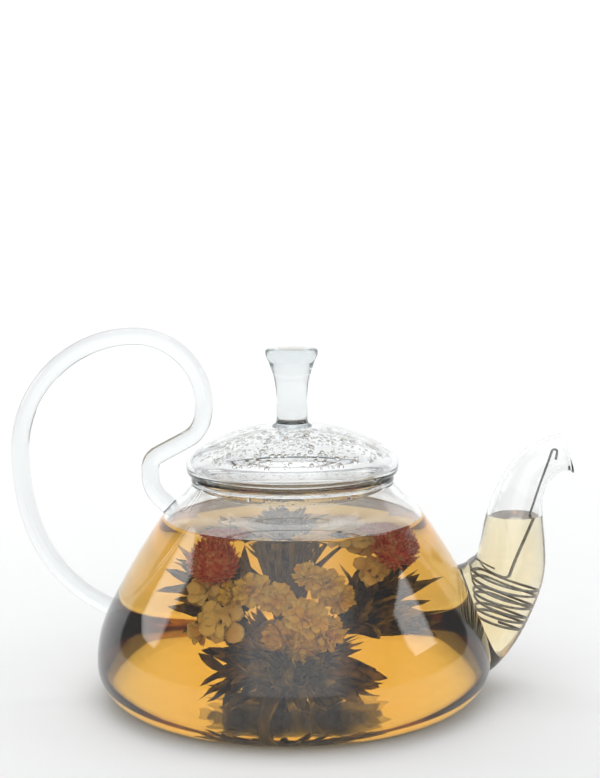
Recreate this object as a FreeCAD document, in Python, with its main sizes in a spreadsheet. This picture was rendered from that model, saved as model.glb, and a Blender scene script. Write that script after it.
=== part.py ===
import FreeCAD, Part
import os
from math import atan2, cos, pi, radians, sin, sqrt
from FreeCAD import Placement, Rotation, Vector
import Sketcher

# Glass teapot with a spring filter in its spout and a blooming tea inside.
# Millimetres, +Z up. The origin is the centre of the flat foot, the handle is
# toward -X and the spout toward +X. The plane Y = 0 is the plane of symmetry
# of the vessel, the handle and the spout.

# ---------------------------------------------------------------- driving sizes
SIZES = {
    # vessel: outer outline from the foot up, then wall and neck
    "foot_radius": 52.5, "foot_height": 0.0,
    "belly_radius": 65.5, "belly_height": 13.0, "belly_curve": 13.0,
    "flank_radius": 61.5, "flank_height": 30.0, "flank_curve": 38.0,
    "shoulder_radius": 42.5, "shoulder_height": 61.6, "shoulder_curve": 240.0,
    "crest_radius": 38.6, "crest_height": 65.4, "crest_curve": 14.5,
    "neck_radius": 33.0, "neck_height": 71.6, "neck_curve": 17.8,
    "rim_height": 74.0, "rim_radius": 32.2, "rim_curve": 1.35, "rim_ease": 0.6,
    "wall": 1.8,
    # handle: a solid glass rod in the plane Y = 0
    "rod_diameter": 5.9,
    # spout shell
    "spout_wall": 1.2,
    # lid: dome, turned-in flange with the skirt, and knob
    "pad_radius": 5.9, "pad_height": 90.7, "lid_wall": 1.8,
    "crown_radius": 32.7, "crown_height": 81.7, "crown_curve": 60.0,
    "brim_radius": 34.9, "brim_height": 76.1, "brim_curve": 5.1,
    "lid_seat": 74.3, "flange_wall": 1.6,
    "skirt_root_radius": 29.7, "skirt_tip_radius": 25.0, "skirt_tip_height": 66.9,
    "skirt_wall": 1.4,
    "knob_waist_radius": 5.1, "knob_waist_height": 99.5,
    "knob_foot_height": 93.0, "knob_rim_radius": 8.6, "knob_rim_height": 113.4,
    "knob_edge": 0.9, "knob_top": 115.6, "knob_flare_curve": 34.0,
    # spring filter: one steel wire, coiled below and straight above
    "wire_diameter": 0.8, "coil_top_radius": 9.6, "coil_bottom_radius": 6.4,
    "coil_pitch": 2.25, "coil_turns": 7.0, "coil_lean": 12.0,
    "coil_top_x": 70.1, "coil_top_z": 38.4,
    "tail_bend": 1.6, "tail_heading": 71.5, "tail_run": 43.5, "hook_bend": 0.9, "hook_run": 2.4,
    # tea
    "tea_level": 59.5, "soak_gap": 0.12,
    # blooming tea: the sewn bundle of leaves and its thread
    "bundle_x": -2.0, "bundle_base": 2.6, "bundle_radius": 17.0, "bundle_height": 11.0,
    "bundle_waist": 8.0, "thread_diameter": 1.0,
}

# Handle centre line: start, heading, then bends (radius, turn) and straight runs.
HANDLE_START = (-60.0, 29.2)
HANDLE_HEADING = 156.55
HANDLE_STEPS = [
    ("bend", 48.0, -51.55), ("bend", 80.0, -15.0), ("bend", 38.5, -90.0),
    ("bend", 22.5, -103.0), ("bend", 10.0, -49.0), ("run", 11.05),
    ("bend", 5.0, 62.0), ("run", 2.7), ("bend", 10.0, 45.0), ("run", 7.5),
]

# Spout sections from the root to the mouth: centre x and z, heading above +X in
# degrees, half height in the plane Y = 0 and half width across it (outer skin).
SPOUT_SECTIONS = [
    (55.5, 23.9, 14.5, 18.3, 15.0),
    (62.3, 25.7, 14.5, 18.3, 15.0),
    (70.2, 36.6, 45.5, 13.2, 12.6),
    (73.0, 46.2, 71.0, 11.4, 11.3),
    (73.5, 58.6, 86.0, 9.45, 9.4),
    (75.2, 66.4, 71.0, 7.95, 7.9),
    (78.4, 73.4, 53.0, 7.0, 6.95),
    (83.4, 78.2, 37.0, 6.5, 6.45),
    (88.6, 80.2, 22.0, 6.35, 6.3),
    (90.6, 80.1, 19.0, 7.0, 6.95),
]

# Soft pieces of the blooming tea, each a plain ellipsoid:
# centre x, y, z, half sizes along its own x, y, z, then lean toward +X and +Y.
FLOWERS = {
    "amaranth_left": (-21.5, -9.0, 42.5, 7.2, 7.2, 6.6, -18.0, 0.0),
    "amaranth_right": (28.0, -6.0, 46.0, 6.8, 6.8, 6.2, 15.0, 0.0),
    "yellow_flower_front": (3.0, -17.5, 24.0, 8.6, 6.6, 8.0, 0.0, 0.0),
    "yellow_flower_left": (-10.0, -15.0, 36.5, 7.4, 5.6, 5.6, 0.0, 0.0),
    "yellow_flower_right": (9.5, -10.0, 39.0, 6.6, 5.6, 5.6, 0.0, 0.0),
    "pale_flower_left": (-19.0, -13.0, 24.5, 7.6, 6.0, 7.6, 0.0, 0.0),
    "pale_flower_right": (17.5, 4.0, 45.5, 6.6, 6.0, 6.6, 0.0, 0.0),
}

# Fans of tea leaves: foot x, y, z of the fan, first and last lean in degrees from
# upright toward +X, number of blades, blade half length, and the plane's y offset
# per blade.
LEAF_FANS = {
    "leaves_left": (-12.0, 8.0, 20.0, -72.0, -22.0, 5, 12.0, 1.4),
    "leaves_right": (13.0, 5.0, 18.0, 34.0, 84.0, 6, 13.0, 1.4),
    "leaves_back": (-2.0, 18.0, 20.0, -30.0, 36.0, 6, 14.5, 1.2),
    "leaves_front": (0.0, -27.8, 9.5, -80.0, 80.0, 5, 7.0, 0.6),
    "stems": (-1.0, 1.0, 30.0, -14.0, 16.0, 4, 12.5, 2.2),
}
BLADE_HALF_WIDTH = 2.2
BLADE_HALF_THICKNESS = 0.45
FAN_ROOT = 4.0          # distance from the fan's foot to the nearest end of a blade

COIL_ROOM = 0.66         # space round the coil that the tea's solid leaves free
PULL_ROOM = 2.5          # how far the wire is drawn up


doc = FreeCAD.newDocument("glass_teapot")
sheet = doc.addObject("Spreadsheet::Sheet", "dims")


class Size:
    """A number from the sheet, together with the expression that gives it."""

    def __init__(self, value, text):
        self.value = value
        self.text = text

    def joined(self, other, sign, value):
        other_text = other.text if isinstance(other, Size) else repr(float(other))
        return Size(value, f"({self.text} {sign} {other_text})")

    def __add__(self, other):
        return self.joined(other, "+", self.value + plain(other))

    def __sub__(self, other):
        return self.joined(other, "-", self.value - plain(other))

    def __mul__(self, other):
        return self.joined(other, "*", self.value * plain(other))

    def __truediv__(self, other):
        return self.joined(other, "/", self.value / plain(other))


def plain(number):
    """The value of a Size, or the number itself."""
    return number.value if isinstance(number, Size) else float(number)


def fill_sheet():
    """Write every driving size to the sheet and return them as Size objects."""
    cells = dict(SIZES)
    for index, section in enumerate(SPOUT_SECTIONS, start=1):
        for word, value in zip(("x", "z", "heading", "tall", "wide"), section):
            cells[f"spout_{word}_{index}"] = value
    for name, figures in FLOWERS.items():
        for word, value in zip(("half_x", "half_y", "half_z"), figures[3:6]):
            cells[f"{name}_{word}"] = value
    for row, (alias, value) in enumerate(cells.items(), start=1):
        sheet.set(f"A{row}", alias)
        sheet.set(f"B{row}", str(value))
        sheet.setAlias(f"B{row}", alias)
    doc.recompute()
    return {alias: Size(float(sheet.get(alias)), f"dims.{alias}") for alias in cells}


size = fill_sheet()


# ------------------------------------------------------------- sketching helpers
def origin_plane(body, role):
    return next(item for item in body.Origin.OriginFeatures if item.Role == role)


def arc_centre(start, end, radius, left):
    """Centre of the short arc of that radius that turns left (or right) on its way."""
    chord = end - start
    reach = sqrt(max(radius ** 2 - (chord.Length / 2) ** 2, 0.0))
    sideways = Vector(-chord.y, chord.x, 0).normalize()
    return (start + end) / 2 + sideways * (reach if left else -reach)


def drawn_arc(start, end, radius, left):
    """The same arc, drawn anticlockwise as a sketch keeps it."""
    centre = arc_centre(start, end, radius, left)
    first, last = (start, end) if left else (end, start)
    angles = [atan2(point.y - centre.y, point.x - centre.x) for point in (first, last)]
    if angles[1] < angles[0]:
        angles[1] += 2 * pi
    return Part.ArcOfCircle(Part.Circle(centre, Vector(0, 0, 1), radius), *angles)


def draw_outline(sketch, corners):
    """Draw a closed outline whose corners and arc radii are held by the sheet.

    A corner is (x, z) or (x, z, radius, "left" or "right"): the radius and the turn
    belong to the arc that arrives at that corner.
    """
    points = [Vector(plain(corner[0]), plain(corner[1]), 0) for corner in corners]
    ends = []
    for index, corner in enumerate(corners):
        start, end = points[index - 1], points[index]
        if len(corner) == 2:
            edge = sketch.addGeometry(Part.LineSegment(start, end), False)
            ends.append((edge, 1, 2))
            continue
        left = corner[3] == "left"
        edge = sketch.addGeometry(drawn_arc(start, end, plain(corner[2]), left), False)
        ends.append((edge, 1, 2) if left else (edge, 2, 1))
    for index, (edge, first, last) in enumerate(ends):
        following = ends[(index + 1) % len(ends)]
        sketch.addConstraint(
            Sketcher.Constraint("Coincident", edge, last, following[0], following[1]))
        hold(sketch, "DistanceX", -2, edge, last, corners[index][0])
        hold(sketch, "DistanceY", -1, edge, last, corners[index][1])
    for corner, (edge, first, last) in zip(corners, ends):
        if len(corner) > 2:
            number = sketch.addConstraint(Sketcher.Constraint("Radius", edge, plain(corner[2])))
            sketch.setExpression(f"Constraints[{number}]", bound(corner[2]))


def bound(number):
    """The expression text of a Size or of a plain number."""
    return number.text if isinstance(number, Size) else repr(float(number))


def hold(sketch, kind, axis, edge, corner, number):
    """Hold a corner on an axis of the sketch, or at the sheet's distance from it."""
    if plain(number) == 0.0:
        sketch.addConstraint(Sketcher.Constraint("PointOnObject", edge, corner, axis))
        return
    index = sketch.addConstraint(
        Sketcher.Constraint(kind, -1, 1, edge, corner, plain(number)))
    sketch.setExpression(f"Constraints[{index}]", bound(number))


def turned(name, corners):
    """A body of revolution about Z whose half outline lies in the XZ plane."""
    body = doc.addObject("PartDesign::Body", name)
    sketch = body.newObject("Sketcher::SketchObject", f"{name}_outline")
    sketch.AttachmentSupport = (origin_plane(body, "XZ_Plane"), [""])
    sketch.MapMode = "FlatFace"
    draw_outline(sketch, corners)
    revolution = body.newObject("PartDesign::Revolution", f"{name}_turned")
    revolution.Profile = sketch
    revolution.ReferenceAxis = (sketch, ["V_Axis"])
    revolution.Angle = 360.0
    body.Tip = revolution
    return body


def boolean(kind, name, base, tool):
    result = doc.addObject(f"Part::{kind}", name)
    result.Base = base
    result.Tool = tool
    return result


def fused(name, shapes):
    result = doc.addObject("Part::MultiFuse", name)
    result.Shapes = shapes
    return result


# ----------------------------------------------------------------------- vessel
# Arcs of an outer skin: the corner where each one ends, and whether it turns left
# or right on the way there. The vessel's go from the foot up to the neck, and the
# lid's from the pad under the knob down to its edge.
VESSEL_ARCS = [
    ("belly", "left"), ("flank", "left"), ("shoulder", "left"), ("crest", "left"),
    ("neck", "right"),
]
LID_ARCS = [("crown", "right"), ("brim", "right")]


def corner_sizes(name):
    return size[f"{name}_radius"], size[f"{name}_height"]


def skin(start, arcs, inset):
    """Corners of a skin moved inward by the inset, and the centre of its last arc.

    Every arc keeps its centre, so the wall between two insets is even. The arcs
    that turn the same way as the first one bulge outward, and the others are hollow.
    """
    bulge = arcs[0][1]
    corners, x, z = [], *corner_sizes(start)
    point = Vector(plain(x), plain(z), 0)
    for name, turn in arcs:
        end_x, end_z = corner_sizes(name)
        end = Vector(plain(end_x), plain(end_z), 0)
        curve = size[f"{name}_curve"]
        centre = arc_centre(point, end, plain(curve), turn == "left")
        if not corners:
            outward = (point - centre).normalize()
            corners.append((x - inset * outward.x, z - inset * outward.y))
        outward = (end - centre).normalize() * (1 if turn == bulge else -1)
        radius = curve - inset if turn == bulge else curve + inset
        corners.append((end_x - inset * outward.x, end_z - inset * outward.y, radius, turn))
        point = end
    return corners, centre


def make_vessel_form():
    """The outside of the vessel as a full solid, with the bead of the rim."""
    corners = [(0, 0)] + skin("foot", VESSEL_ARCS, 0)[0]
    rim = (size["rim_radius"], size["rim_height"], size["rim_curve"], "left")
    return turned("vessel_form", corners + [rim, (0, size["rim_height"])])


def make_cavity(name, inset):
    """The hollow inside the skin, open at the top, with the eased edge of the rim."""
    corners = [(0, inset)] + skin("foot", VESSEL_ARCS, inset)[0]
    bore, ease = corners[-1][0], size["rim_ease"]
    top = size["rim_height"]
    corners += [
        (bore, top - ease), (bore + ease, top, ease, "right"),
        (bore + ease, top + size["wall"]), (0, top + size["wall"]),
    ]
    return turned(name, corners)


# ------------------------------------------------------------------------ spout
def spout_ring(index, inset):
    """A section of the spout: an ellipse whose major axis lies in the plane Y = 0."""
    x, z, heading, tall, wide = (
        plain(size[f"spout_{word}_{index}"]) for word in ("x", "z", "heading", "tall", "wide"))
    along = Vector(cos(radians(heading)), 0, sin(radians(heading)))
    upward = Vector(-along.z, 0, along.x)
    ring = Part.Wire([Part.Ellipse(Vector(), tall - inset, wide - inset).toBSpline().toShape()])
    turn = Rotation(upward, along.cross(upward), along, "XYZ")
    ring.Placement = Placement(Vector(x, 0, z), turn)
    return ring


def make_spout_loft(name, inset):
    """A smooth solid through the spout's sections, moved inward by the inset."""
    stations = range(1, len(SPOUT_SECTIONS) + 1)
    loft = doc.addObject("Part::Feature", name)
    loft.Shape = Part.makeLoft([spout_ring(index, plain(inset)) for index in stations], True, False)
    return loft


# ----------------------------------------------------------------------- handle
def bent_wire(start, along, across, steps):
    """A wire of straight runs and tangent bends in the plane of along and across.

    A step is ("run", length) or ("bend", radius, turn in degrees), where a positive
    turn goes from along toward across. Returns the edges, the end and its heading.
    """
    normal = along.cross(across)
    point, way, edges = start, Vector(along), []
    for step in steps:
        if step[0] == "run":
            target = point + way * step[1]
            edges.append(Part.LineSegment(point, target).toShape())
            point = target
            continue
        radius, turn = step[1], step[2]
        side = normal.cross(way) * (1 if turn > 0 else -1)
        centre = point + side * radius
        halfway = Rotation(normal, turn / 2)
        whole = Rotation(normal, turn)
        middle = centre + halfway.multVec(point - centre)
        target = centre + whole.multVec(point - centre)
        edges.append(Part.Arc(point, middle, target).toShape())
        point, way = target, whole.multVec(way)
    return edges, point, way


def make_rod(name, edges, start, heading, diameter):
    """A round rod of the sheet's diameter swept along the edges."""
    path = doc.addObject("Part::Feature", f"{name}_path")
    path.Shape = Part.Wire(edges)
    ring = doc.addObject("Part::Circle", f"{name}_section")
    ring.Radius = plain(diameter / 2)
    ring.setExpression("Radius", bound(diameter / 2))
    ring.Placement = Placement(start, Rotation(Vector(0, 0, 1), heading))
    rod = doc.addObject("Part::Sweep", name)
    rod.Sections = [ring]
    rod.Spine = (path, [f"Edge{number}" for number in range(1, len(edges) + 1)])
    rod.Solid = True
    rod.Frenet = False
    return rod


def make_handle_rod():
    heading = radians(HANDLE_HEADING)
    along = Vector(cos(heading), 0, sin(heading))
    across = Vector(-sin(heading), 0, cos(heading))
    start = Vector(HANDLE_START[0], 0, HANDLE_START[1])
    edges = bent_wire(start, along, across, HANDLE_STEPS)[0]
    return make_rod("handle_rod", edges, start, along, size["rod_diameter"])


# -------------------------------------------------------------------------- lid
def make_lid():
    """The blown dome with a flat pad under the knob, and the flange with the skirt."""
    outside, centre = skin("pad", LID_ARCS, 0)
    inside = skin("pad", LID_ARCS, size["lid_wall"])[0]
    dome = turned("lid_dome", [(0, outside[0][1]), *outside, inside[-1][:2]]
                  + turned_back(inside) + [(0, inside[0][1])])
    seat, flange, wall = size["lid_seat"], size["flange_wall"], size["skirt_wall"]
    brim = size["brim_curve"]
    seat_x = centre.x + sqrt(plain(brim) ** 2 - (centre.y - plain(seat)) ** 2)
    root, tip, tip_z = (
        size[f"skirt_{word}"] for word in ("root_radius", "tip_radius", "tip_height"))
    skirt = turned("lid_skirt", [
        (tip, tip_z), (root, seat), (seat_x, seat), (*outside[-1][:2], brim, "left"),
        inside[-1][:2], (root - wall, seat + flange), (tip - wall, tip_z),
    ])
    return dome, skirt


def turned_back(corners):
    """The corners of an arc chain in the opposite order, without the first one passed."""
    other = {"left": "right", "right": "left"}
    steps = zip(reversed(corners[:-1]), reversed(corners[1:]))
    return [(*corner[:2], arc[2], other[arc[3]]) for corner, arc in steps]


def make_knob():
    """The solid flared knob, whose foot stands on the flat pad of the dome."""
    edge = size["knob_edge"]
    return turned("lid_knob", [
        (0, size["pad_height"]),
        (size["pad_radius"], size["pad_height"]),
        (size["knob_waist_radius"], size["knob_foot_height"], edge * 2, "right"),
        (size["knob_waist_radius"], size["knob_waist_height"]),
        (size["knob_rim_radius"], size["knob_rim_height"], size["knob_flare_curve"], "right"),
        (size["knob_rim_radius"] - edge, size["knob_rim_height"] + edge, edge, "left"),
        (0, size["knob_top"]),
    ])


# ---------------------------------------------------------------- spring filter
COIL_UP = Vector(sin(radians(SIZES["coil_lean"])), 0, cos(radians(SIZES["coil_lean"])))
COIL_ACROSS = Vector(COIL_UP.z, 0, -COIL_UP.x)


def coil_top():
    return Vector(plain(size["coil_top_x"]), 0, plain(size["coil_top_z"]))


def make_coil():
    """The tapered coil that lies in the root of the spout and stops the leaves."""
    tall = size["coil_pitch"] * size["coil_turns"]
    top, bottom = size["coil_top_radius"], size["coil_bottom_radius"]
    foot = coil_top() - COIL_UP * plain(tall)
    turn = Rotation(Vector(0, 1, 0), -COIL_ACROSS, COIL_UP, "XYZ")
    helix = doc.addObject("Part::Helix", "coil_path")
    helix.Pitch = plain(size["coil_pitch"])
    helix.Height = plain(tall)
    helix.Radius = plain(bottom)
    helix.setExpression("Pitch", bound(size["coil_pitch"]))
    helix.setExpression("Height", bound(tall))
    helix.setExpression("Radius", bound(bottom))
    helix.setExpression("Angle", f"atan(({bound(top)} - {bound(bottom)}) / {bound(tall)})")
    helix.Placement = Placement(foot, turn)
    ring = doc.addObject("Part::Circle", "coil_section")
    ring.Radius = plain(size["wire_diameter"] / 2)
    ring.setExpression("Radius", bound(size["wire_diameter"] / 2))
    start = foot + Vector(0, plain(bottom), 0)
    ring.Placement = Placement(start, Rotation(Vector(0, 0, 1), -COIL_ACROSS))
    coil = doc.addObject("Part::Sweep", "filter_coil")
    coil.Sections = [ring]
    coil.Spine = (helix, ["Edge1"])
    coil.Solid = True
    coil.Frenet = True
    return coil


def make_tail():
    """The end of the same wire: a half turn to the middle, then up the spout to a hook."""
    top = coil_top()
    radius = plain(size["coil_top_radius"])
    start = top + Vector(0, radius, 0)
    middle = top + Vector(0, radius / 2, 0) - COIL_ACROSS * (radius / 2)
    edges = [Part.Arc(start, middle, top).toShape()]
    heading = plain(size["tail_heading"])
    lean = plain(size["coil_lean"])
    edges += bent_wire(top, COIL_ACROSS, COIL_UP, [
        ("bend", plain(size["tail_bend"]), heading + lean),
        ("run", plain(size["tail_run"])),
        ("bend", plain(size["hook_bend"]), -172.0),
        ("run", plain(size["hook_run"])),
    ])[0]
    return make_rod("filter_tail", edges, start, -COIL_ACROSS, size["wire_diameter"])


# ------------------------------------------------------------------ blooming tea
def ellipsoid(name, place, halves, grow=0.0):
    """An ellipsoid with the given half sizes along its own axes."""
    piece = doc.addObject("Part::Ellipsoid", name)
    for word, number in zip(("Radius2", "Radius3", "Radius1"), halves):
        setattr(piece, word, plain(number + grow))
        if isinstance(number, Size):
            piece.setExpression(word, bound(number + grow))
    piece.Placement = place
    return piece


def leaning(x, y, z, lean_x, lean_y=0.0):
    turn = Rotation(Vector(0, 1, 0), lean_x) * Rotation(Vector(1, 0, 0), -lean_y)
    return Placement(Vector(x, y, z), turn)


def make_flower(name, grow=None):
    x, y, z, _, _, _, lean_x, lean_y = FLOWERS[name]
    halves = [size[f"{name}_{word}"] for word in ("half_x", "half_y", "half_z")]
    label = name if grow is None else f"{name}_bed"
    return ellipsoid(label, leaning(x, y, z, lean_x, lean_y), halves, grow or 0.0)


def make_fan(name, grow=None):
    """A fan of separate blades round one foot, each a thin ellipsoid."""
    x, y, z, first, last, count, half_length, step_y = LEAF_FANS[name]
    blades = []
    for number in range(count):
        lean = first + (last - first) * number / (count - 1)
        way = Vector(sin(radians(lean)), 0, cos(radians(lean)))
        centre = Vector(x, y + step_y * (number % 3 - 1), z) + way * (FAN_ROOT + half_length)
        place = leaning(*centre, lean)
        halves = (BLADE_HALF_THICKNESS * 2, BLADE_HALF_WIDTH, half_length)
        blades.append(ellipsoid(f"{name}_blade", place, halves, grow or 0.0))
    return fused(name if grow is None else f"{name}_bed", blades)


def make_bundle(name, grow):
    """The sewn bundle of leaves, waisted where the thread is tied round it."""
    x = plain(size["bundle_x"])
    base, radius = size["bundle_base"], size["bundle_radius"]
    tall, waist = size["bundle_height"], size["bundle_waist"]
    body = turned(name, [
        (0, base - grow),
        (waist, base - grow),
        (radius + grow, base + tall / 2, tall / 2 + 3.2, "left"),
        (waist + grow, base + tall + grow, tall / 2 + 4.4, "left"),
        (waist + 1.2 + grow, base + tall + 2.6 + grow, 1.9, "right"),
        (0, base + tall + 3.4 + grow),
    ])
    body.Placement = Placement(Vector(x, 0, 0), Rotation())
    return body


def make_thread(name, grow):
    """The cotton thread tied round the bundle's waist."""
    ring = doc.addObject("Part::Torus", name)
    ring.Radius2 = plain(size["thread_diameter"] / 2 + grow)
    ring.setExpression("Radius2", bound(size["thread_diameter"] / 2 + grow))
    ring.Radius1 = plain(size["bundle_waist"] + 1.6)
    ring.setExpression("Radius1", bound(size["bundle_waist"] + 1.6))
    height = plain(size["bundle_base"] + size["bundle_height"] + 1.1)
    ring.Placement = Placement(Vector(plain(size["bundle_x"]), 0, height), Rotation())
    return ring


# -------------------------------------------------------------------------- tea
def make_coil_room():
    """The space of the coil and of the wire above it, which the tea leaves free."""
    tall = plain(size["coil_pitch"] * size["coil_turns"])
    cone = doc.addObject("Part::Cone", "coil_room")
    cone.Radius1 = plain(size["coil_bottom_radius"] + COIL_ROOM)
    cone.Radius2 = plain(size["coil_top_radius"] + COIL_ROOM)
    cone.setExpression("Radius1", bound(size["coil_bottom_radius"] + COIL_ROOM))
    cone.setExpression("Radius2", bound(size["coil_top_radius"] + COIL_ROOM))
    cone.Height = tall + 2 * COIL_ROOM
    foot = coil_top() - COIL_UP * (tall + COIL_ROOM)
    cone.Placement = Placement(foot, Rotation(Vector(0, 0, 1), COIL_UP))
    heading = radians(plain(size["tail_heading"]))
    along = Vector(cos(heading), 0, sin(heading))
    bend = COIL_UP * plain(size["tail_bend"])
    shaft = doc.addObject("Part::Cylinder", "tail_room")
    shaft.Radius = plain(size["wire_diameter"] / 2 + COIL_ROOM / 2)
    shaft.setExpression("Radius", bound(size["wire_diameter"] / 2 + COIL_ROOM / 2))
    shaft.Height = plain(size["tail_run"] + size["tail_bend"])
    side = Vector(along.z, 0, -along.x) * plain(size["tail_bend"])
    foot = coil_top() + bend + side - along * plain(size["tail_bend"])
    shaft.Placement = Placement(foot, Rotation(Vector(0, 0, 1), along))
    rooms = [cone, shaft]
    # the half turn of the wire and its bend also need room above, for the pull
    half = plain(size["coil_top_radius"] / 2)
    places = [(Vector(0, half, 0), half + plain(size["wire_diameter"] / 2) + 0.42),
              (COIL_ACROSS * 0.9, 1.9)]
    for shift, radius in places:
        room = doc.addObject("Part::Cylinder", "pull_room")
        room.Radius = radius
        room.Height = PULL_ROOM + 3 * COIL_ROOM + plain(size["tail_bend"]) * 0.4
        start = coil_top() + shift - COIL_UP * (COIL_ROOM * 0.9)
        room.Placement = Placement(start, Rotation(Vector(0, 0, 1), COIL_UP))
        rooms.append(room)
    return rooms


def make_tea(beds):
    """The tea in the vessel and the spout, with beds for what is steeped in it."""
    inset = size["wall"] + size["soak_gap"]
    pot = make_cavity("tea_in_pot", inset)
    arm = make_spout_loft("tea_in_spout", size["spout_wall"] + size["soak_gap"])
    level = doc.addObject("Part::Cylinder", "tea_level_block")
    level.Radius = 2 * plain(size["belly_radius"])
    level.Height = plain(size["tea_level"])
    level.setExpression("Height", bound(size["tea_level"]))
    whole = boolean("Common", "tea_whole", fused("tea_both", [pot, arm]), level)
    return boolean("Cut", "tea", whole, fused("tea_beds", beds + make_coil_room()))


# --------------------------------------------------------------------- assembly
def make_parts():
    """Every named piece, in the order in which it would come off a bench."""
    wall, gap = size["wall"], plain(size["soak_gap"])
    form = make_vessel_form()
    bore = make_spout_loft("spout_bore", size["spout_wall"])
    blank = boolean("Cut", "vessel_blank", form, make_cavity("cavity", wall))
    vessel = boolean("Cut", "vessel", blank, bore)
    horn = make_spout_loft("spout_horn", 0.0)
    spout = boolean("Cut", "spout", boolean("Cut", "spout_pipe", horn, bore), form)
    handle = boolean("Cut", "handle", make_handle_rod(), form)
    dome, skirt = make_lid()
    pieces = [vessel, spout, handle, dome, skirt, make_knob(), make_coil(), make_tail()]
    pieces += [make_bundle("leaf_bundle", 0.0), make_thread("binding_thread", 0.0)]
    pieces += [make_flower(name) for name in FLOWERS]
    pieces += [make_fan(name) for name in LEAF_FANS]
    beds = [make_bundle("leaf_bundle_bed", gap), make_thread("binding_thread_bed", gap)]
    beds += [make_flower(name, gap) for name in FLOWERS]
    beds += [make_fan(name, gap) for name in LEAF_FANS]
    return pieces + [make_tea(beds)]


def check(pieces):
    """Stop unless every object was recomputed and every piece is a sound solid."""
    for item in doc.Objects:
        if "Invalid" in item.State or "Error" in item.State:
            raise RuntimeError(f"{item.Name} failed: {item.State}")
    for piece in pieces:
        shape = piece.Shape
        if shape.isNull() or not shape.isValid() or not shape.Solids:
            raise RuntimeError(f"{piece.Label} has no valid solid")


def write(pieces):
    os.makedirs("parts", exist_ok=True)
    for piece in pieces:
        piece.Shape.exportStep(f"parts/{piece.Label}.step")


parts = make_parts()
doc.recompute()
check(parts)
write(parts)
for part in parts:
    box = part.Shape.BoundBox
    print(f"{part.Label:22s} {len(part.Shape.Solids)} solids {part.Shape.Volume:10.1f} mm3  "
          f"x {box.XMin:7.2f} {box.XMax:7.2f}  y {box.YMin:7.2f} {box.YMax:7.2f}  "
          f"z {box.ZMin:7.2f} {box.ZMax:7.2f}")
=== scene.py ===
import bpy, bmesh, random
from math import atan2, cos, hypot, pi, radians, sin
from mathutils import Matrix, Vector, noise


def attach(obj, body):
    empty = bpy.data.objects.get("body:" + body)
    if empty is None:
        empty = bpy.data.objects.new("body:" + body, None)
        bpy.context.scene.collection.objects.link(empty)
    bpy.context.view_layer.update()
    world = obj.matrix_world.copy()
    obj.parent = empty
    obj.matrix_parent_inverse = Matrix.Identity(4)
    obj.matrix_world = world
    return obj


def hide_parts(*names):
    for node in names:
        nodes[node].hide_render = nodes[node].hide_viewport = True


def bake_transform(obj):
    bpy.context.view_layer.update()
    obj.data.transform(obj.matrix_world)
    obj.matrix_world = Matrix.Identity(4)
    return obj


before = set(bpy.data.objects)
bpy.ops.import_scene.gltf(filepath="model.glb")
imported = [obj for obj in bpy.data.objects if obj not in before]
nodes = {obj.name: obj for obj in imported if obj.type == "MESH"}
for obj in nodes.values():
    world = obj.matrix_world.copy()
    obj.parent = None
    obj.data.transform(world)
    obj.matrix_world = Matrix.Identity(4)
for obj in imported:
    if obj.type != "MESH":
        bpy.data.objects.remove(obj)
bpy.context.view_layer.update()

MM = 0.001
dice = random.Random(41)
GOLDEN_ANGLE = 2.399963


# ---------------------------------------------------------------- materials
def material(name, **values):
    made = bpy.data.materials.new(name)
    made.use_nodes = True
    shader = made.node_tree.nodes["Principled BSDF"]
    for key, value in values.items():
        shader.inputs[key.replace("_", " ")].default_value = value
    return made, shader


def clear(name, ior, colour, density, shine=1.0):
    """Glass or liquid: its colour comes from the way through it, and shine scales its mirror."""
    made, shader = material(name, Base_Color=(1, 1, 1, 1), Roughness=0.0, IOR=ior,
                            Transmission_Weight=1.0)
    shader.inputs["Specular Tint"].default_value = (shine, shine, shine, 1)
    tree = made.node_tree
    inside = tree.nodes.new("ShaderNodeVolumeAbsorption")
    inside.inputs["Color"].default_value = (*colour, 1)
    inside.inputs["Density"].default_value = density
    tree.links.new(inside.outputs[0], tree.nodes["Material Output"].inputs["Volume"])
    return made


def ramp_of(tree, source, stops):
    ramp = tree.nodes.new("ShaderNodeValToRGB")
    line = ramp.color_ramp
    while len(line.elements) < len(stops):
        line.elements.new(0.5)
    for element, (place, colour) in zip(line.elements, stops):
        element.position = place
        element.color = (*colour, 1)
    tree.links.new(source, ramp.inputs[0])
    return ramp.outputs[0]


def mottled(name, scale, stops, bump=0.0, **values):
    """Colour that wanders between the stops, in the piece's own coordinates."""
    made, shader = material(name, **values)
    tree = made.node_tree
    where = tree.nodes.new("ShaderNodeTexCoord")
    cloud = tree.nodes.new("ShaderNodeTexNoise")
    cloud.inputs["Scale"].default_value = scale
    cloud.inputs["Detail"].default_value = 3.0
    tree.links.new(where.outputs["Object"], cloud.inputs["Vector"])
    tree.links.new(ramp_of(tree, cloud.outputs["Fac"], stops), shader.inputs["Base Color"])
    if bump:
        lift = tree.nodes.new("ShaderNodeBump")
        lift.inputs["Strength"].default_value = bump
        lift.inputs["Distance"].default_value = 0.0004
        tree.links.new(cloud.outputs["Fac"], lift.inputs["Height"])
        tree.links.new(lift.outputs[0], shader.inputs["Normal"])
    return made


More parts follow.
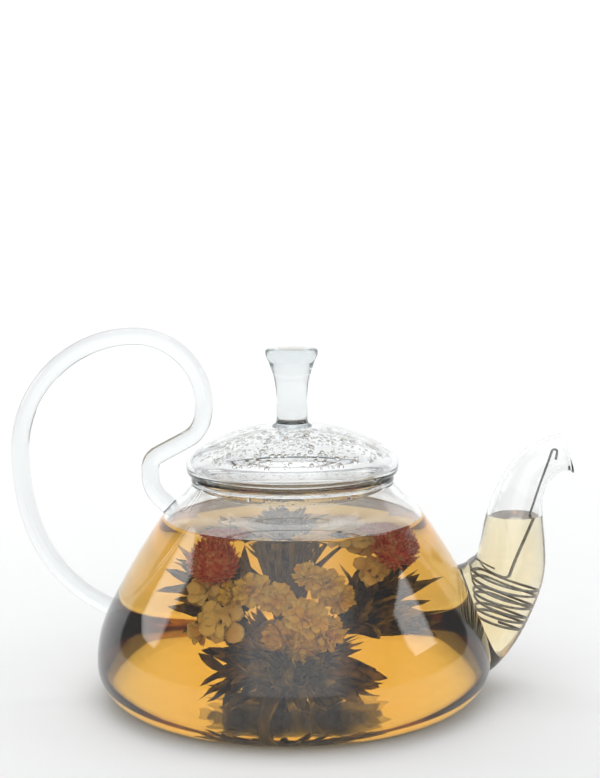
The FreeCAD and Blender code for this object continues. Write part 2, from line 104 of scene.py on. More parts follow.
glass = clear("clear glass", 1.47, (0.78, 0.82, 0.83), 85.0)
water = clear("condensed water", 1.333, (0.95, 0.97, 0.97), 5.0)
brew = clear("amber tea", 1.333, (1.0, 0.765, 0.04), 27.0, shine=0.2)
steel = mottled("steel wire", 900, [(0.3, (0.10, 0.10, 0.09)), (0.7, (0.30, 0.30, 0.28))],
                Metallic=1.0, Roughness=0.32)
leaf = mottled("steeped tea leaf", 160,
               [(0.30, (0.045, 0.038, 0.014)), (0.46, (0.15, 0.12, 0.035)),
                (0.60, (0.46, 0.36, 0.10)), (0.76, (0.72, 0.58, 0.24))],
               bump=0.5, Roughness=0.45)
stalk = mottled("leaf stalk", 120, [(0.3, (0.10, 0.085, 0.025)), (0.7, (0.34, 0.29, 0.12))],
                Roughness=0.5)
cotton = mottled("cotton thread", 900, [(0.3, (0.62, 0.54, 0.36)), (0.7, (0.82, 0.76, 0.58))],
                 Roughness=0.8)
bract = mottled("amaranth bracts", 420,
                [(0.28, (0.66, 0.09, 0.10)), (0.46, (0.90, 0.26, 0.24)),
                 (0.60, (0.97, 0.52, 0.45)), (0.78, (1.0, 0.80, 0.70))],
                Roughness=0.55)
yellow = mottled("yellow petals", 260,
                 [(0.25, (1.0, 0.62, 0.08)), (0.50, (1.0, 0.80, 0.16)),
                  (0.75, (1.0, 0.93, 0.40))],
                 Roughness=0.6)
pale = mottled("pale petals", 130,
               [(0.30, (0.96, 0.74, 0.50)), (0.55, (1.0, 0.90, 0.76)),
                (0.80, (1.0, 0.97, 0.90))],
               Roughness=0.55)
paper = material("pale floor", Base_Color=(0.93, 0.93, 0.925, 1), Roughness=0.9)[0]


# ---------------------------------------------------------------- mesh helpers
class Heap:
    """Points in millimetres and faces of one mesh."""

    def __init__(self):
        self.points, self.faces = [], []

    def ring_skin(self, rings, first=None, last=None):
        """Faces over a run of equal rings, with an end point or an end cap at each end."""
        base, count = len(self.points), len(rings[0])
        for ring in rings:
            self.points.extend(ring)
        for row in range(len(rings) - 1):
            for k in range(count):
                a = base + row * count + k
                b = base + row * count + (k + 1) % count
                self.faces.append((a, b, b + count, a + count))
        for tip, row, flip in ((first, 0, True), (last, len(rings) - 1, False)):
            start = base + row * count
            if tip is None:
                cap = [start + k for k in range(count)]
                self.faces.append(tuple(cap[::-1] if flip else cap))
                continue
            self.points.append(tip)
            at = len(self.points) - 1
            for k in range(count):
                a, b = start + k, start + (k + 1) % count
                self.faces.append((b, a, at) if flip else (a, b, at))

    def make(self, name, finish, slot=None, angle=None):
        mesh = bpy.data.meshes.new(name)
        mesh.from_pydata([tuple(p * MM for p in point) for point in self.points], [], self.faces)
        mesh.materials.append(finish)
        work = bmesh.new()
        work.from_mesh(mesh)
        bmesh.ops.recalc_face_normals(work, faces=work.faces)
        work.to_mesh(mesh)
        work.free()
        mesh.polygons.foreach_set("use_smooth", [True] * len(mesh.polygons))
        piece = bpy.data.objects.new(name, mesh)
        bpy.context.scene.collection.objects.link(piece)
        if angle:
            mesh.set_sharp_from_angle(angle=radians(angle))
        return piece


def blade(heap, start, ahead, up, length, half_width, thick=0.18, curl=0.0, twist=0.0,
          cup=0.2, steps=7, shape=None, ragged=0.0, cells=2, seed=0.0):
    """A thin closed leaf or petal that runs from start along ahead, with its face toward up."""
    ahead, up = Vector(ahead).normalized(), Vector(up)
    up = (up - ahead * up.dot(ahead)).normalized()
    shape = shape or (lambda u: sin(pi * min(1.0, u * 0.9 + 0.1)) ** 0.8)
    point = Vector(start)
    rings = []
    first = point.copy()
    for step in range(1, steps + 1):
        u = step / (steps + 1)
        side = ahead.cross(up)
        turn = Matrix.Rotation(curl / steps, 3, side) @ Matrix.Rotation(twist / steps, 3, ahead)
        ahead, up = (turn @ ahead).normalized(), (turn @ up).normalized()
        side = ahead.cross(up)
        point = point + ahead * (length / (steps + 1))
        wide = max(0.06, half_width * shape(u))
        depth = thick * (0.35 + 0.65 * sin(pi * min(1, u + 0.15)))
        above, below = [], []
        for k in range(-cells, cells + 1):
            t = k / cells
            out = side * wide * t + up * wide * cup * t * t
            if ragged:
                wave = noise.noise(Vector((u * 9 + seed, t * 3.1, seed * 1.7)))
                out += up * ragged * wave * abs(t) * half_width
                out += ahead * ragged * 0.7 * wave * (1 - abs(t)) * u * half_width
            edge = 1 - t * t
            above.append(point + out + up * depth * edge)
            if abs(k) != cells:
                below.append(point + out - up * depth * edge)
        rings.append(above + below[::-1])
    heap.ring_skin(rings, first, point + ahead * (length / (steps + 1)))


def tube(heap, centres, radius, around=10):
    """A round wire along a run of points."""
    rings, up = [], None
    last = len(centres) - 1
    for k, centre in enumerate(centres):
        ahead = (centres[min(k + 1, last)] - centres[max(k - 1, 0)]).normalized()
        if up is None:
            up = ahead.orthogonal().normalized()
        up = (up - ahead * up.dot(ahead)).normalized()
        side = ahead.cross(up)
        rings.append([centre + (up * cos(a) + side * sin(a)) * radius
                      for a in (2 * pi * n / around for n in range(around))])
    heap.ring_skin(rings)


def lathe(heap, outline, around=160):
    """A closed solid turned about Z from an outline that starts and ends on the axis."""
    rings = [[Vector((r * cos(a), r * sin(a), z))
              for a in (2 * pi * n / around for n in range(around))]
             for r, z in outline[1:-1]]
    heap.ring_skin(rings, Vector((0, 0, outline[0][1])), Vector((0, 0, outline[-1][1])))


def arc_points(start, end, radius, hollow=False, steps=10, inset=0.0):
    """Points of an arc that bulges away from the axis, moved inward by inset."""
    (x0, z0), (x1, z1) = start, end
    dx, dz = x1 - x0, z1 - z0
    half = hypot(dx, dz) / 2
    rise = (radius * radius - half * half) ** 0.5
    sign = -1 if hollow else 1
    cx = (x0 + x1) / 2 - sign * rise * dz / (2 * half)
    cz = (z0 + z1) / 2 + sign * rise * dx / (2 * half)
    a, b = atan2(z0 - cz, x0 - cx), atan2(z1 - cz, x1 - cx)
    if b - a > pi:
        b -= 2 * pi
    if a - b > pi:
        b += 2 * pi
    size = radius + (inset if hollow else -inset)
    return [(cx + size * cos(a + (b - a) * k / steps), cz + size * sin(a + (b - a) * k / steps))
            for k in range(steps + 1)]


def replaced(piece, body, *names):
    """Puts a piece on a body, in place of the named nodes."""
    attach(piece, body)
    if names:
        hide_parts(*names)
    return piece


def smooth(piece, angle):
    """Smooth shading, with sharp edges where faces meet at more than angle degrees."""
    mesh = piece.data
    mesh.polygons.foreach_set("use_smooth", [True] * len(mesh.polygons))
    mesh.set_sharp_from_angle(angle=radians(angle))


def solid_of(base, tool, kind, name, finish):
    """The union, difference or common part of two closed meshes, as a new piece."""
    change = base.modifiers.new("join", "BOOLEAN")
    change.operation, change.solver, change.object = kind, "EXACT", tool
    bpy.context.view_layer.update()
    result = base.evaluated_get(bpy.context.evaluated_depsgraph_get())
    mesh = bpy.data.meshes.new_from_object(result)
    mesh.name = name
    mesh.materials.clear()
    mesh.materials.append(finish)
    made = bpy.data.objects.new(name, mesh)
    bpy.context.scene.collection.objects.link(made)
    for old in (base, tool):
        bpy.data.objects.remove(old)
    return made


# ---------------------------------------------------------------- glass
for name in ("filter_coil", "filter_tail"):
    nodes[name].data.materials.clear()
    nodes[name].data.materials.append(steel)

# Millimetres. The tea runs a little way into the glass, so that no air shows between them.
WALL, SPOUT_WALL, ROD_RADIUS = 1.8, 1.2, 2.95
LEVEL, OVERLAP, SPOUT_OVERLAP = 59.5, 0.10, 0.15
AROUND = 192
# Corners of the vessel's outline, as radius and height, from the foot to the rim.
FOOT, BELLY, FLANK = (52.5, 0), (65.5, 13), (61.5, 30)
SHOULDER, CREST = (42.5, 61.6), (38.6, 65.4)
NECK, RIM = (33.0, 71.6), (32.2, 74.0)
# Corners of the lid: the edge of the brim, the edge of the crown and the pad under the knob.
BRIM, CROWN, PAD = (34.9, 76.1), (32.7, 81.7), (5.9, 90.7)
BRIM_RADIUS, CROWN_RADIUS = 5.1, 60
LID_SKIRT = [(32.6, 75.95), (31.5, 75.9), (29.2, 75.9), (28.5, 75.6), (28.2, 74.9), (27.0, 72.3),
             (25.2, 69.3), (23.6, 67.3), (23.7, 66.95), (24.2, 66.8), (24.8, 66.95), (25.1, 67.3),
             (26.9, 70.0), (28.5, 72.5), (29.5, 73.9), (29.9, 74.25), (30.5, 74.3), (33.4, 74.3),
             (34.1, 74.5), (34.6, 75.0), (34.85, 75.6)]
KNOB_FOOT = [(5.45, 91.05), (5.18, 91.7), (5.1, 92.6), (5.1, 96.0), (5.1, 99.5)]
KNOB_EDGE, KNOB_WAIST_RADIUS = (8.6, 113.4), 34
KNOB_TOP = [(8.7, 114.2), (8.65, 114.9), (8.35, 115.35), (7.8, 115.6), (4, 115.6), (0, 115.6)]
# The spout's sections: x, z, heading in degrees, half height and half width.
SPOUT = [
    (55.5, 23.9, 14.5, 18.3, 15.0), (62.3, 25.7, 14.5, 18.3, 15.0), (70.2, 36.6, 45.5, 13.2, 12.6),
    (73.0, 46.2, 71.0, 11.4, 11.3), (73.5, 58.6, 86.0, 9.45, 9.4), (75.2, 66.4, 71.0, 7.95, 7.9),
    (78.4, 73.4, 53.0, 7.0, 6.95), (83.4, 78.2, 37.0, 6.5, 6.45), (88.6, 80.2, 22.0, 6.35, 6.3),
    (90.6, 80.1, 19.0, 7.0, 6.95), (92.8, 80.8, 19.0, 7.4, 7.35),
]
# The handle's rod: a bend has a radius and a turn in degrees, and a run has a length.
ROD = [("bend", 48.0, -51.55), ("bend", 80.0, -15.0), ("bend", 38.5, -90.0),
       ("bend", 22.5, -103.0), ("bend", 10.0, -49.0), ("run", 11.05),
       ("bend", 5.0, 62.0), ("run", 2.7), ("bend", 10.0, 45.0), ("run", 7.5)]


def smooth_row(rows, at):
    """A row between two of the table's rows, on a smooth curve through all of them."""
    k = min(int(at), len(rows) - 2)
    t = at - k
    a, b, c, d = (rows[max(0, min(len(rows) - 1, k + n))] for n in (-1, 0, 1, 2))
    return [0.5 * (2 * q + (r - p) * t + (2 * p - 5 * q + 4 * r - s) * t * t
                   + (3 * q - p - 3 * r + s) * t ** 3) for p, q, r, s in zip(a, b, c, d)]


def spout_rings(inset, first, last, per=8, around=64):
    """Rings along the spout between two of its sections, moved inward by inset."""
    rings = []
    for n in range(int(first * per), int(last * per) + 1):
        x, z, heading, tall, wide = smooth_row(SPOUT, n / per)
        up = Vector((-sin(radians(heading)), 0, cos(radians(heading))))
        rings.append([Vector((x, 0, z)) + up * (tall - inset) * cos(a)
                      + Vector((0, 1, 0)) * (wide - inset) * sin(a)
                      for a in (-2 * pi * n / around for n in range(around))])
    return rings


def vessel_line(inset):
    """The vessel's outline from the foot to the neck, moved inward by inset."""
    line = [(0, inset), (30, inset), (48, inset)]
    line += arc_points(FOOT, BELLY, 13, inset=inset, steps=14)
    line += arc_points(BELLY, FLANK, 38, inset=inset, steps=14)[1:]
    line += arc_points(FLANK, SHOULDER, 240, inset=inset, steps=36)[1:]
    line += arc_points(SHOULDER, CREST, 14.5, inset=inset, steps=8)[1:]
    return line + arc_points(CREST, NECK, 17.8, True, 10, inset)[1:]


def tea_outline():
    """The tea's outline, with the surface drawn up a little where it meets the wall."""
    line = [p for p in vessel_line(WALL - OVERLAP) if p[1] < LEVEL + 0.7]
    edge = line[-1][0]
    return line + [(edge - 0.35, LEVEL + 0.45), (edge - 0.8, LEVEL + 0.2),
                   (edge - 1.6, LEVEL + 0.04), (edge - 2.6, LEVEL), (edge - 14, LEVEL), (0, LEVEL)]


def rod_path():
    """The middle line of the handle's rod, from its root on the vessel to the curled end."""
    x, z, heading = -60.0, 29.2, 156.55
    path = [Vector((x, 0, z))]
    for step in ROD:
        count = 6 if step[0] == "run" else max(6, int(abs(step[2]) / 2.5))
        for _ in range(count):
            part = step[1] / count
            if step[0] == "bend":
                heading += step[2] / count / 2
                part = 2 * step[1] * sin(radians(abs(step[2]) / count / 2))
            x, z = x + part * cos(radians(heading)), z + part * sin(radians(heading))
            if step[0] == "bend":
                heading += step[2] / count / 2
            path.append(Vector((x, 0, z)))
    return path


def blank(build):
    """A plain closed mesh to be joined with others."""
    heap = Heap()
    build(heap)
    return heap.make("blank", glass)


def make_pot_glass():
    """The vessel, spout and handle as one clear shell, open at the mouth and at the spout's tip."""
    rim = arc_points(NECK, RIM, 1.35, steps=10)[1:]
    form = blank(lambda heap: lathe(heap, vessel_line(0) + rim + [(0, RIM[1])], AROUND))
    horn = blank(lambda heap: heap.ring_skin(spout_rings(0.0, 0, 9)))
    rod = blank(lambda heap: tube(heap, rod_path(), ROD_RADIUS, 32))
    line = vessel_line(WALL)
    bore = line[-1][0]
    line += [(bore, 73.4), (bore + 0.18, 73.82), (bore + 0.6, 74.0), (bore + 0.6, 76.0), (0, 76.0)]
    hollow = blank(lambda heap: lathe(heap, line, AROUND))
    pipe = blank(lambda heap: heap.ring_skin(spout_rings(SPOUT_WALL, 0, 10)))
    pot = solid_of(form, horn, "UNION", "blank", glass)
    pot = solid_of(pot, rod, "UNION", "blank", glass)
    pot = solid_of(pot, hollow, "DIFFERENCE", "blank", glass)
    pot = solid_of(pot, pipe, "DIFFERENCE", "pot_glass", glass)
    smooth(pot, 42)
    replaced(pot, "pot", "vessel", "spout", "handle")


def make_lid_glass():
    """The lid in one turned shell: down the inside of the dome, round the skirt and up outside."""
    line = [(0, 88.9)] + arc_points(CROWN, PAD, CROWN_RADIUS, inset=WALL, steps=24)[::-1]
    line += arc_points(BRIM, CROWN, BRIM_RADIUS, inset=WALL, steps=8)[::-1][1:]
    line += LID_SKIRT
    line += arc_points(BRIM, CROWN, BRIM_RADIUS, steps=10)
    line += arc_points(CROWN, PAD, CROWN_RADIUS, steps=24)[1:]
    line += KNOB_FOOT
    line += arc_points(KNOB_FOOT[-1], KNOB_EDGE, KNOB_WAIST_RADIUS, True, 12)[1:]
    line += KNOB_TOP
    heap = Heap()
    lathe(heap, line, 160)
    shell = heap.make("lid_glass", glass, "clear_glass", 42)
    replaced(shell, "lid", "lid_dome", "lid_skirt", "lid_knob")


make_pot_glass()
make_lid_glass()


# ---------------------------------------------------------------- tea
def make_tea():
    """The tea in the vessel, and in the spout up to the same level."""
    pool = blank(lambda heap: lathe(heap, tea_outline(), AROUND))
    arm = blank(lambda heap: heap.ring_skin(spout_rings(SPOUT_WALL - SPOUT_OVERLAP, 0, 5.4)))
    corners = ((40, -30), (110, -30), (110, 30), (40, 30))
    below = [[Vector((x, y, z)) for x, y in corners] for z in (-5, LEVEL)]
    block = blank(lambda heap: heap.ring_skin(below))
    arm = solid_of(arm, block, "INTERSECT", "arm", brew)
    tea = solid_of(pool, arm, "UNION", "tea_liquid", brew)
    smooth(tea, 38)
    replaced(tea, "pot", "tea")


make_tea()


# ---------------------------------------------------------------- leaves
BUNDLE_X = -2


def spread(low, high):
    """A random value between low and high."""
    return low + (high - low) * dice.random()


def bunch(name, node, count, foot, lean, turn, length, width, curl):
    """Leaves that fan out from foot, with lean from upright and turn about it in degrees."""
    heap = Heap()
    for _ in range(count):
        tilt, spin = radians(spread(*lean)), radians(spread(*turn))
        ahead = Vector((sin(tilt) * cos(spin), sin(tilt) * sin(spin), cos(tilt)))
        start = Vector(foot) + Vector([spread(-2.5, 2.5) for _ in range(3)]) + ahead * 2
        blade(heap, start, ahead, Vector((spread(-1, 1), spread(-1, 1), spread(0, 1))),
              spread(*length), spread(*width), thick=0.22, curl=spread(-curl, curl),
              twist=spread(-1.6, 1.6), cup=spread(0.3, 0.9), steps=8,
              shape=lambda u: (sin(pi * u ** 0.8)) ** 0.75, ragged=0.25, seed=spread(0, 50))
    return replaced(heap.make(name, leaf, "tea_leaf"), "pot", node)


bunch("leaves_left_sprays", "leaves_left", 26, (-12, 6, 19), (18, 72), (150, 215), (16, 26),
      (1.5, 3.2), curl=1.0)
bunch("leaves_right_sprays", "leaves_right", 34, (12, 3, 17), (26, 78), (-45, 30), (18, 29),
      (1.6, 3.6), curl=1.0)
bunch("leaves_back_sprays", "leaves_back", 30, (-2, 14, 18), (0, 42), (30, 150), (20, 32),
      (1.4, 3.0), curl=0.8)
bunch("leaves_front_sprays", "leaves_front", 34, (0, -17, 9), (40, 100), (210, 330), (9, 17),
      (1.2, 2.6), curl=0.9)


def bundle():
    """The bound foot of the tea flower: two layers of leaves round a solid core."""
    heap = Heap()
    for k in range(190):
        spin = GOLDEN_ANGLE * k
        tilt = radians(spread(30, 108))
        ahead = Vector((sin(tilt) * cos(spin), sin(tilt) * sin(spin), cos(tilt)))
        start = Vector((BUNDLE_X, 0, 5)) + Vector((cos(spin), sin(spin), 0)) * spread(2, 6)
        start.z = spread(5.5, 10)
        reach = spread(10, 20) if tilt < radians(88) else spread(7, 13)
        blade(heap, start, ahead, (0, 0, 1), reach, spread(0.9, 2.2), thick=0.25,
              curl=spread(-0.3, 0.5), twist=spread(-1.2, 1.2), cup=spread(0.2, 0.8), steps=7,
              ragged=0.2, seed=k)
    for k in range(110):
        spin, tilt = GOLDEN_ANGLE * k + 1.0, radians(spread(74, 101))
        ahead = Vector((sin(tilt) * cos(spin), sin(tilt) * sin(spin), cos(tilt)))
        start = Vector((BUNDLE_X, 0, spread(3.4, 7.5)))
        start += Vector((cos(spin), sin(spin), 0)) * spread(3, 11)
        blade(heap, start, ahead, (0, 0, 1), spread(9, 18), spread(1.1, 2.6), thick=0.25,
              curl=spread(-0.5, 0.5), twist=spread(-1.2, 1.2), cup=spread(0.2, 0.8), steps=7,
              ragged=0.2, seed=k + 300)
    for point in heap.points:
        point.z = max(point.z, 2.1 + 0.02 * abs(point.x % 1.0))
    core = [(0, 3.0), (4, 3.1), (6.0, 4.6), (6.6, 9.0), (8.2, 12.8), (8.6, 15.6), (6, 19.0), (0, 20.5)]
    base = len(heap.points)
    lathe(heap, core, 40)
    for n in range(base, len(heap.points)):
        point = heap.points[n]
        heap.points[n] = Vector((point.x + BUNDLE_X, point.y, point.z)) + Vector(
            (point.x, point.y, 0)) * 0.16 * noise.noise(point * 0.5)
    return replaced(heap.make("leaf_bundle_blades", leaf, "tea_leaf"), "pot", "leaf_bundle")


bundle()


def make_stalks():
    """Stalks that rise from the bundle and stop below the tea's surface."""
    heap = Heap()
    for _ in range(16):
        tilt, spin = radians(spread(2, 26)), spread(0, 2 * pi)
        ahead = Vector((sin(tilt) * cos(spin), sin(tilt) * sin(spin) * 0.6, cos(tilt)))
        start = Vector((-1 + spread(-3, 3), 2 + spread(-4, 4), spread(18, 26)))
        length, at, row = spread(24, 37), Vector(start), []
        way = ahead.copy()
        for _ in range(9):
            row.append(at.copy())
            way = (way + Vector((spread(-1, 1), spread(-1, 1), 0)) * 0.05).normalized()
            at += way * min(length / 8, (57 - start.z) / 8 / max(0.3, way.z))
        tube(heap, row, spread(0.35, 0.8), 8)
    replaced(heap.make("stalks", stalk, "tea_leaf"), "pot", "stems")


def make_thread():
    """Turns of thread round the bundle, each a closed ring that waves a little."""
    turns, along, around, radius = 3, 72, 8, 0.42
    heap = Heap()
    for turn in range(turns):
        base, reach = len(heap.points), 9.4 + 0.3 * turn
        for a in (2 * pi * n / along for n in range(along)):
            centre = Vector((BUNDLE_X + reach * cos(a), reach * sin(a),
                             13.6 + 0.75 * turn + 0.3 * sin(2 * a + turn)))
            out = (centre - Vector((BUNDLE_X, 0, centre.z))).normalized()
            heap.points += [centre + (out * cos(b) + Vector((0, 0, 1)) * sin(b)) * radius
                            for b in (2 * pi * n / around for n in range(around))]
        for k in range(along):
            here, beyond = base + k * around, base + (k + 1) % along * around
            for n in range(around):
                m = (n + 1) % around
                heap.faces.append((beyond + n, beyond + m, here + m, here + n))
    replaced(heap.make("thread_turns", cotton, "cotton_thread"), "pot", "binding_thread")


make_stalks()
make_thread()


# ---------------------------------------------------------------- flowers
BRACTS = 230


def golden(k, count, low=-1.0):
    """The k-th of count evenly spread directions, from straight up down to z = low."""
    z = 1 - (1 - low) * (k + 0.5) / count
    spin = GOLDEN_ANGLE * k
    flat = (1 - z * z) ** 0.5
    return Vector((flat * cos(spin), flat * sin(spin), z))


def amaranth(name, node, centre, radius, lean):
    """A globe of pointed bracts on a turned core, leaning by lean degrees."""
    heap = Heap()
    turn = Matrix.Rotation(radians(lean), 3, "Y")
    centre = Vector(centre)
    core = [(0, -0.82), (0.5, -0.66), (0.78, -0.25), (0.8, 0.2), (0.55, 0.6), (0.25, 0.78),
            (0, 0.82)]
    base = len(heap.points)
    lathe(heap, [(r * radius, z * radius) for r, z in core], 20)
    for n in range(base, len(heap.points)):
        heap.points[n] = centre + turn @ heap.points[n]
    for k in range(BRACTS):
        out = golden(k, BRACTS)
        way = turn @ (out * 0.75 + Vector((0, 0, 0.55))).normalized()
        start = centre + turn @ (out * radius * 0.72)
        blade(heap, start, way, turn @ out, radius * spread(0.36, 0.48), radius * spread(0.10, 0.14),
              thick=0.12, curl=spread(-0.5, 0.3), cup=0.7, steps=3, cells=1,
              shape=lambda u: 1 - 0.75 * u, seed=k)
    replaced(heap.make(name, bract, "amaranth_bracts"), "pot", node)


amaranth("amaranth_left_bracts", "amaranth_left", (-21.5, -9.0, 42.5), 7.4, -18)
amaranth("amaranth_right_bracts", "amaranth_right", (28.0, -6.0, 46.0), 7.0, 15)


def ragged_flower(name, node, blooms, finish, slot, petals, width, shape, ragged, cup=0.25,
                  low=-0.25):
    """Blooms of thin petals; each bloom has a centre, a radius and the way it faces."""
    heap = Heap()
    for x, y, z, radius, face in blooms:
        toward = Vector(face).normalized()
        turn = Vector((0, 0, 1)).rotation_difference(toward).to_matrix()
        for k in range(petals):
            out = golden(k, petals, low)
            way = turn @ out
            start = Vector((x, y, z)) + way * radius * 0.08
            up = turn @ (Vector((0, 0, 1)) + out * -0.2)
            blade(heap, start, way, up if abs(way.dot(up.normalized())) < 0.97 else way.orthogonal(),
                  radius * spread(0.78, 1.05), radius * spread(*width), thick=0.12,
                  curl=spread(-0.7, 0.5), twist=spread(-0.5, 0.5), cup=spread(0, cup), steps=6,
                  cells=3, shape=shape, ragged=ragged, seed=spread(0, 90))
    replaced(heap.make(name, finish, slot), "pot", node)


def fringe(u):
    """Half width along a narrow petal that widens to a blunt, torn end."""
    return 0.25 + 0.95 * u ** 0.9 if u < 0.8 else 1.0 - 2.2 * (u - 0.8)


def spoon(u):
    """Half width along a broad petal with a round end."""
    return sin(pi * u ** 1.25) ** 0.55


ragged_flower("yellow_front_petals", "yellow_flower_front",
              [(3, -19, 27, 6.8, (0.1, -1, 0.5)), (-3, -18, 21.5, 5.6, (-0.6, -1, -0.1)),
               (8.5, -17, 22, 5.8, (0.7, -1, 0.1)), (2, -21, 18.5, 5.2, (0.2, -1, -0.4))],
              yellow, "yellow_petals", 50, (0.15, 0.25), fringe, 1.1)
ragged_flower("yellow_left_petals", "yellow_flower_left",
              [(-11, -16, 35.5, 6.0, (-0.5, -1, 0.6)), (-4.5, -17, 33, 5.4, (0, -1, 0.4)),
               (-16, -13, 33, 4.8, (-1, -0.8, 0.3))],
              yellow, "yellow_petals", 46, (0.15, 0.25), fringe, 1.1)
ragged_flower("yellow_right_petals", "yellow_flower_right",
              [(8.5, -12, 35.5, 5.6, (0.4, -1, 0.6)), (12, -11, 31, 5.0, (0.8, -1, 0.1)),
               (4, -13, 39, 4.6, (0.1, -0.8, 0.8))],
              yellow, "yellow_petals", 46, (0.15, 0.25), fringe, 1.1)
ragged_flower("pale_left_petals", "pale_flower_left",
              [(-19, -14, 25, 7.6, (-0.5, -1, 0.3)), (-23, -9, 33, 6.0, (-0.8, -0.8, 0.5)),
               (-24, -10, 20.5, 5.0, (-1, -0.7, -0.1))],
              pale, "pale_petals", 11, (0.32, 0.46), spoon, 0.35, cup=0.5, low=0.0)
ragged_flower("pale_right_petals", "pale_flower_right",
              [(17.5, 1, 46, 7.0, (0, -0.7, 1)), (20, -5, 38, 5.4, (0.5, -1, 0.3)),
               (12, -3, 49, 5.0, (-0.3, -0.6, 1))],
              pale, "pale_petals", 11, (0.32, 0.46), spoon, 0.35, cup=0.5, low=0.0)

# ---------------------------------------------------------------- spring filter
TALL, TURNS, PER_TURN = 15.75, 7.0, 40


def make_spring():
    """The filter's coil, wider at its top."""
    lean = radians(12)
    axis, across = Vector((sin(lean), 0, cos(lean))), Vector((cos(lean), 0, -sin(lean)))
    crown = Vector((70.1, 0, 38.4))
    row = []
    for k in range(int(TURNS * PER_TURN) + 1):
        u = k / (TURNS * PER_TURN)
        a = pi / 2 - 2 * pi * TURNS * (1 - u)
        wide = 6.4 + 3.2 * u
        wave = noise.noise(Vector((u * 9.0, 3.1, 0))) * (1 - u) * 0.5
        height = TALL * u + 0.55 * sin(a * 0.5 + 0.6) * sin(pi * u) + wave
        sideways = (across * -cos(a) + Vector((0, 1, 0)) * sin(a)) * wide
        row.append(crown - axis * (TALL - height) + sideways)
    heap = Heap()
    tube(heap, row, 0.42, 10)
    coil = heap.make("spring_turns", steel, "steel_wire")
    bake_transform(coil)
    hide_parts("filter_coil")


make_spring()


# ---------------------------------------------------------------- condensation
SQUAT, CELL = 0.45, 3


def drops(name, line, count, sizes, seed):
    """Beads of water on the inner face of a turned shell. The line runs in radius and height."""
    source = random.Random(seed)
    spans = [hypot(b[0] - a[0], b[1] - a[1]) * (a[0] + b[0]) for a, b in zip(line, line[1:])]
    total = sum(spans)
    heap, kept, cells = Heap(), [], {}
    for _ in range(count * 6):
        if len(kept) >= count:
            break
        pick, k = source.random() * total, 0
        while pick > spans[k] and k < len(spans) - 1:
            pick -= spans[k]
            k += 1
        t = source.random()
        (r0, z0), (r1, z1) = line[k], line[k + 1]
        r, z = r0 + (r1 - r0) * t, z0 + (z1 - z0) * t
        spin = source.random() * 2 * pi
        run = Vector((r1 - r0, z1 - z0)).normalized()
        inward = Vector((-run.y, run.x))
        place = Vector((r * cos(spin), r * sin(spin), z))
        wide = sizes[0] + (sizes[1] - sizes[0]) * source.random() ** 3
        key = tuple(int(part // CELL) for part in place)
        near = [q for dx in (-1, 0, 1) for dy in (-1, 0, 1) for dz in (-1, 0, 1)
                for q in cells.get((key[0] + dx, key[1] + dy, key[2] + dz), ())]
        if any((place - q).length < 0.93 * (wide + w) for q, w in near):
            continue
        cells.setdefault(key, []).append((place, wide))
        kept.append(place)
        normal = Vector((inward.x * cos(spin), inward.x * sin(spin), inward.y))
        one = normal.orthogonal().normalized()
        two = normal.cross(one)
        rings = []
        for height, share in ((-0.12, 0.96), (0.25, 0.97), (0.62, 0.78), (0.88, 0.45)):
            rings.append([place + normal * height * wide * SQUAT
                          + (one * cos(b) + two * sin(b)) * wide * share
                          * (1 + 0.10 * sin(2 * b + spin * 7))
                          for b in (2 * pi * n / 12 for n in range(12))])
        heap.ring_skin(rings, place - normal * 0.14 * wide * SQUAT, place + normal * wide * SQUAT)
    return replaced(heap.make(name, water, "clear_glass"), "lid")


dome = arc_points(CROWN, PAD, CROWN_RADIUS, inset=WALL, steps=24)
dome = [p for p in dome if p[0] > 9.5]
drops("dome_condensation", dome, 950, (0.28, 1.25), 5)
skirt = [(28.3, 73.2), (27.0, 71.4), (25.6, 69.4), (24.2, 67.6)]
drops("skirt_condensation", skirt, 420, (0.2, 0.62), 6)

# ---------------------------------------------------------------- floor, light, camera
def make_floor():
    """A floor that bends up into a back wall, just below the foot of the pot."""
    bend, half_width, drop = 450, 1250, 0.05
    sweep = [(-2 * bend, 0), (bend, 0)]
    sweep += [(bend + bend * sin(a), bend - bend * cos(a))
              for a in (radians(6 * n) for n in range(1, 16))]
    sweep += [(2 * bend, 2 * bend)]
    heap = Heap()
    for y, z in sweep:
        heap.points += [Vector((-half_width, y, z - drop)), Vector((half_width, y, z - drop))]
    for k in range(len(sweep) - 1):
        heap.faces.append((2 * k, 2 * k + 1, 2 * k + 3, 2 * k + 2))
    floor = heap.make("studio_sweep", paper)


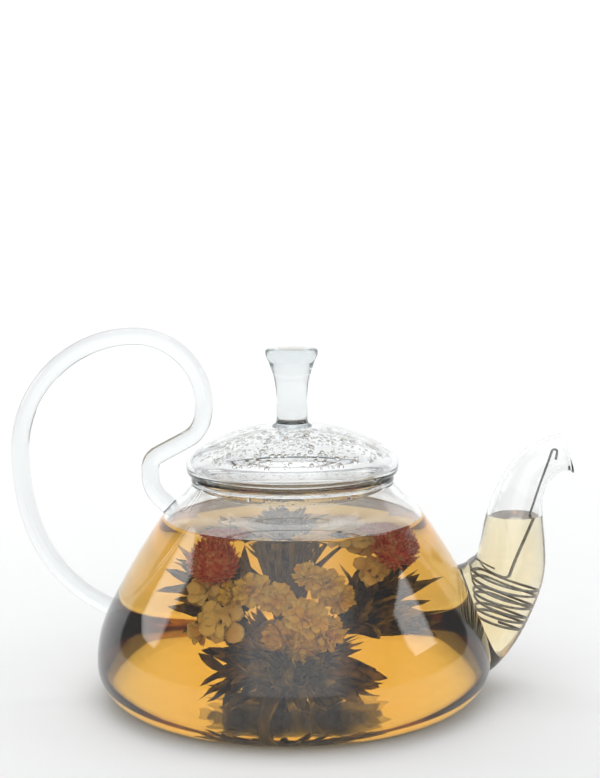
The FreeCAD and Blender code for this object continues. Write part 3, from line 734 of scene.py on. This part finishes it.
def make_sky():
    """A pale room: darker to the sides, so clear edges show, and brighter toward the front."""
    world = bpy.data.worlds.new("studio")
    bpy.context.scene.world = world
    world.use_nodes = True
    sky = world.node_tree
    where = sky.nodes.new("ShaderNodeTexCoord")
    split = sky.nodes.new("ShaderNodeSeparateXYZ")
    sky.links.new(where.outputs["Generated"], split.inputs[0])
    side = sky.nodes.new("ShaderNodeMath")
    side.operation = "ABSOLUTE"
    sky.links.new(split.outputs["X"], side.inputs[0])
    tones = [(0.38, (0.88, 0.89, 0.90)), (0.58, (0.36, 0.365, 0.37)),
             (0.80, (0.27, 0.265, 0.26)), (0.97, (0.48, 0.475, 0.47))]
    background = sky.nodes["Background"]
    sky.links.new(ramp_of(sky, side.outputs[0], tones), background.inputs["Color"])
    front = sky.nodes.new("ShaderNodeMapRange")
    for key, value in (("From Min", 0.1), ("From Max", -0.6), ("To Min", 1.0), ("To Max", 2.2)):
        front.inputs[key].default_value = value
    sky.links.new(split.outputs["Y"], front.inputs["Value"])
    sky.links.new(front.outputs[0], background.inputs["Strength"])


make_floor()
make_sky()


def lamp(name, place, target, width, height, power):
    """A rectangular lamp that faces target. Places in metres, power in watts."""
    light = bpy.data.lights.new(name, "AREA")
    light.shape, light.size, light.size_y = "RECTANGLE", width, height
    light.energy = power
    made = bpy.data.objects.new(name, light)
    made.location = place
    made.rotation_euler = (Vector(target) - Vector(place)).to_track_quat("-Z", "Y").to_euler()
    bpy.context.scene.collection.objects.link(made)


lamp("overhead", (0, 0.0, 1.1), (0, 0, 0), 0.9, 0.8, 2.5)
lamp("window_left", (-0.85, 0.15, 0.42), (0, 0, 0.05), 0.34, 0.30, 1.1)
lamp("window_right", (0.85, -0.10, 0.40), (0, 0, 0.05), 0.30, 0.26, 0.9)
lamp("wall_wash", (0, 0.30, 1.1), (0, 1.0, 0.25), 1.4, 0.4, 2.5)


def make_camera():
    """A long lens a half metre in front, looking down a little."""
    pitch, roll = radians(6.6), radians(0.5)
    camera = bpy.data.objects.new("camera", bpy.data.cameras.new("camera"))
    bpy.context.scene.collection.objects.link(camera)
    view = camera.data
    view.sensor_fit, view.sensor_height, view.lens = "VERTICAL", 36.0, 70.8
    view.clip_start, view.clip_end = 0.01, 20
    camera.location = (0.0027, -0.5, 0.160)
    camera.rotation_euler = (Matrix.Rotation(radians(90) - pitch, 3, "X")
                             @ Matrix.Rotation(-roll, 3, "Z")).to_euler()
    bpy.context.scene.camera = camera


def set_render():
    """Tone, and enough bounces for light to cross several walls of glass."""
    scene = bpy.context.scene
    scene.view_settings.view_transform = "Standard"
    scene.view_settings.exposure = -0.46
    cycles = scene.cycles
    cycles.max_bounces = cycles.transmission_bounces = cycles.transparent_max_bounces = 24
    cycles.glossy_bounces = 8
    cycles.diffuse_bounces = 5
    cycles.caustics_refractive = cycles.caustics_reflective = True


make_camera()
set_render()
